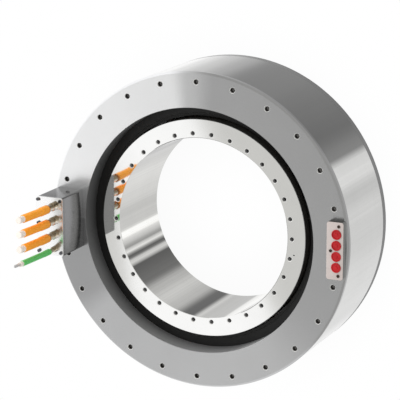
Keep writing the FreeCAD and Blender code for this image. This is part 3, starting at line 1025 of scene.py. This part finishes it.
def earth_lead():
    """The earth lead: a metal neck, a green sheath, a pale ring and bare tinned strands."""
    start = Vector((LEAD_X, LEAD_Y[3], PLATE_HIGH.z + EARTH_GLAND_HEIGHT))
    line = lead_line("earth_lead_sheathed", start, LEAD_LEAN[3], EARTH_LEAD_LENGTH)
    pale, green, metal = 0, 1, 2
    rows = [
        (0.0, EARTH_NECK, metal),
        (EARTH_BOOT_START - SQUARE_STEP, EARTH_NECK, green),
        (EARTH_BOOT_START, EARTH_BOOT - 0.6 * MM, green),
        (EARTH_BOOT_START + BOOT_ROUNDING, EARTH_BOOT, green),
        (EARTH_BOOT_END, EARTH_BOOT, green),
        (EARTH_BOOT_END + 0.5 * MM, EARTH_SHEATH, green),
        (EARTH_SHEATH_END - 0.8 * MM, EARTH_SHEATH, green),
        (EARTH_SHEATH_END - SQUARE_STEP, EARTH_SHEATH - 0.4 * MM, green),
        (EARTH_SHEATH_END, EARTH_FERRULE, pale),
        (EARTH_LEAD_LENGTH - 0.5 * MM, EARTH_FERRULE, pale),
        (EARTH_LEAD_LENGTH, EARTH_FERRULE - 0.4 * MM, pale),
    ]
    mesh = tube_mesh("earth_lead_sheathed", line, rows)
    keys = ("pale", "green", "gland")
    lead = piece("earth_lead_sheathed", mesh, "stator", keys, ["earth_lead"])
    end = earth_strands(line[-1], (line[-1] - line[-2]).normalized())
    return lead


def earth_strands(start, direction):
    """The bared end: strands round a middle one, cut at slightly different lengths."""
    strand = EARTH_END_RADIUS / 3
    across = direction.orthogonal().normalized()
    beside = direction.cross(across)
    meshes = []
    places = [on_circle(2 * strand, 360 * i / OUTER_STRANDS) for i in range(OUTER_STRANDS)]
    for i, (dx, dy) in enumerate(places + [(0.0, 0.0)]):
        foot = start + across * dx + beside * dy
        length = EARTH_END_LENGTH * (1 - STRAND_STAGGER * (i % 3))
        line = [foot, foot + direction * length]
        rows = [(0.0, strand, 0), (0.96 * length, strand, 0), (length, 0.6 * strand, 0)]
        meshes.append(tube_mesh("strand", line, rows, STRAND_STEPS))
    mesh = joined("earth_end_strands", meshes)
    return piece("earth_end_strands", mesh, "stator", ("tinned",), ["earth_end"])


def glands():
    meshes = [
        gland("power_glands_turned", (LEAD_X, y), POWER_GLAND_FLATS, POWER_GLAND_HEIGHT)
        for y in LEAD_Y[:3]
    ]
    mesh = joined("power_glands_turned", meshes)
    piece("power_glands_turned", mesh, "stator", ("gland",), ["power_glands"])
    mesh = gland("earth_gland_turned", (LEAD_X, LEAD_Y[3]), EARTH_GLAND_FLATS, EARTH_GLAND_HEIGHT)
    piece("earth_gland_turned", mesh, "stator", ("gland",), ["earth_gland"])


# Coolant ports
def port_block():
    corners = (PORT_CORNER, PORT_CORNER)
    mesh = slab_mesh("port_block_body", PORT_LOW, PORT_HIGH, *corners, PORT_EDGE)
    # The walls take dark metal as painted shade
    keys = ("port", "port_side_shade")
    return piece("port_block_body", mesh, "stator", keys, ["port_block"])


def coolant_plugs():
    """Four pressed-in plugs: a domed rim round a shallow dish."""
    low, height = PLUG_LOW.z, PLUG_HIGH.z - PLUG_LOW.z
    radius = (PLUG_HIGH.x - PLUG_LOW.x) / 2
    profile = [(share * radius, low + climb * height, 0) for share, climb in PLUG_OUTLINE]
    meshes = []
    for centre in node_centres("coolant_plugs", PLUG_COUNT):
        meshes.append(turned_mesh("plug", profile, PLUG_STEPS, centre, closed=False))
    mesh = joined("coolant_plugs_moulded", meshes)
    return piece(
        "coolant_plugs_moulded", mesh, "stator", ("red",), ["coolant_plugs"]
    )


def inner_nodes():
    """The pieces inside keep their solids and get their own finish."""
    finishes = {
        "stator_core": "laminations",
        "coils_u": "copper",
        "coils_v": "copper",
        "coils_w": "copper",
        "magnets_north": "magnet",
        "magnets_south": "magnet",
    }
    for node, key in finishes.items():
        mesh = frame["nodes"][node].data
        mesh.materials.clear()
        mesh.materials.append(MATERIALS[key])


# Stage
def floor():
    """A pale floor that is white to the eye and in the metal, keeps a soft shadow and is clear from
    below."""
    material, nodes = new_material("pale_floor")
    path = nodes.add("ShaderNodeLightPath").outputs
    seen = nodes.math("MAXIMUM", path["Is Camera Ray"], path["Is Glossy Ray"])
    seen = nodes.math("MAXIMUM", seen, path["Is Transmission Ray"])
    near = nodes.add("ShaderNodeAmbientOcclusion", {"samples": 8}, Distance=SHADOW_REACH)
    strength = nodes.span(near.outputs["AO"], SHADOW_CLOSED, SHADOW_OPEN, SHADOW_WHITE, 1.0)
    white = nodes.add("ShaderNodeEmission", Color=WHITE, Strength=strength)
    pale = nodes.add("ShaderNodeBsdfDiffuse", Color=FLOOR_MATT)
    above = nodes.mix_shaders(seen, pale.outputs[0], white.outputs[0])
    below = nodes.add("ShaderNodeNewGeometry").outputs["Backfacing"]
    clear = nodes.add("ShaderNodeBsdfTransparent")
    surface = nodes.mix_shaders(below, above, clear.outputs[0])
    output = nodes.add("ShaderNodeOutputMaterial")
    nodes.tree.links.new(surface, output.inputs[0])
    mesh_data = bmesh.new()
    bmesh.ops.create_circle(mesh_data, cap_ends=True, segments=FLOOR_STEPS, radius=FLOOR_RADIUS)
    mesh = as_mesh("floor", mesh_data)
    mesh.materials.append(material)
    thing = added("floor", mesh)
    thing.location.z = REAR_LOW.z - FLOOR_CLEARANCE


def world():
    """A soft white studio with a greyer side and a narrow grey band beside that."""
    studio = bpy.data.worlds.new("studio")
    studio.use_nodes = True
    bpy.context.scene.world = studio
    nodes = Nodes(studio.node_tree)
    direction = nodes.add("ShaderNodeTexCoord").outputs["Generated"]
    parts = nodes.add("ShaderNodeSeparateXYZ", Vector=direction).outputs
    climb = nodes.math("MAXIMUM", parts[2], LEAST_CLIMB)
    east = nodes.math("DIVIDE", parts[0], climb)
    north = nodes.math("DIVIDE", parts[1], climb)
    across = nodes.math("MULTIPLY_ADD", east, GREY_EAST, nodes.math("MULTIPLY", north, GREY_NORTH))
    grey_side = nodes.span(across, *GREY_EDGE)
    beside = nodes.math("MULTIPLY_ADD", north, BAND_NORTH, east)
    band = nodes.math("MULTIPLY", nodes.span(beside, *BAND_START), nodes.span(beside, *BAND_END))
    tone = nodes.mix(nodes.math("MAXIMUM", grey_side, band), WHITE, STUDIO_GREY)
    path = nodes.add("ShaderNodeLightPath").outputs
    colour = nodes.mix(path["Is Camera Ray"], tone, WHITE)
    strength = nodes.span(path["Is Diffuse Ray"], 0.0, 1.0, 1.0, DIFFUSE_STRENGTH)
    background = nodes.add("ShaderNodeBackground", Color=colour, Strength=strength)
    output = nodes.add("ShaderNodeOutputWorld")
    nodes.tree.links.new(background.outputs[0], output.inputs[0])


def key_light():
    """A broad soft lamp that shows in no metal."""
    lamp = bpy.data.lights.new("key", "AREA")
    lamp.shape = "DISK"
    lamp.size = KEY_SIZE
    lamp.energy = KEY_POWER
    thing = added("key", lamp)
    thing.location = KEY_PLACE
    thing.rotation_euler = KEY_PLACE.to_track_quat("Z", "Y").to_euler()
    thing.visible_glossy = False


def camera():
    data = bpy.data.cameras.new("camera")
    data.lens = CAMERA_LENS
    data.sensor_width = CAMERA_SENSOR
    data.clip_end = CAMERA_REACH
    right, up = CAMERA_RIGHT.normalized(), CAMERA_UP.normalized()
    back = right.cross(up)
    thing = added("camera", data)
    rotation = Matrix((right, up, back)).transposed()
    thing.matrix_world = Matrix.Translation(CAMERA_PLACE) @ rotation.to_4x4()
    bpy.context.scene.camera = thing


camera()
world()
key_light()
floor()
front_flange()
cooling_jacket()
rear_ring()
front_potting()
rotor_carrier()
magnet_band()
cable_box()
screw_heads(
    "cable_plate_screws_hex", "cable_plate_screws", PLATE_SCREWS, PLATE_SCREW_FLATS, "screw",
)
glands()
for number, phase in enumerate("uvw"):
    power_lead(number, phase)
earth_lead()
port_block()
screw_heads(
    "port_screws_hex", "port_screws", PORT_SCREWS, PORT_SCREW_FLATS, "black_screw"
)
coolant_plugs()
inner_nodes()

bpy.context.scene.view_settings.view_transform = "Standard"
bpy.context.view_layer.update()
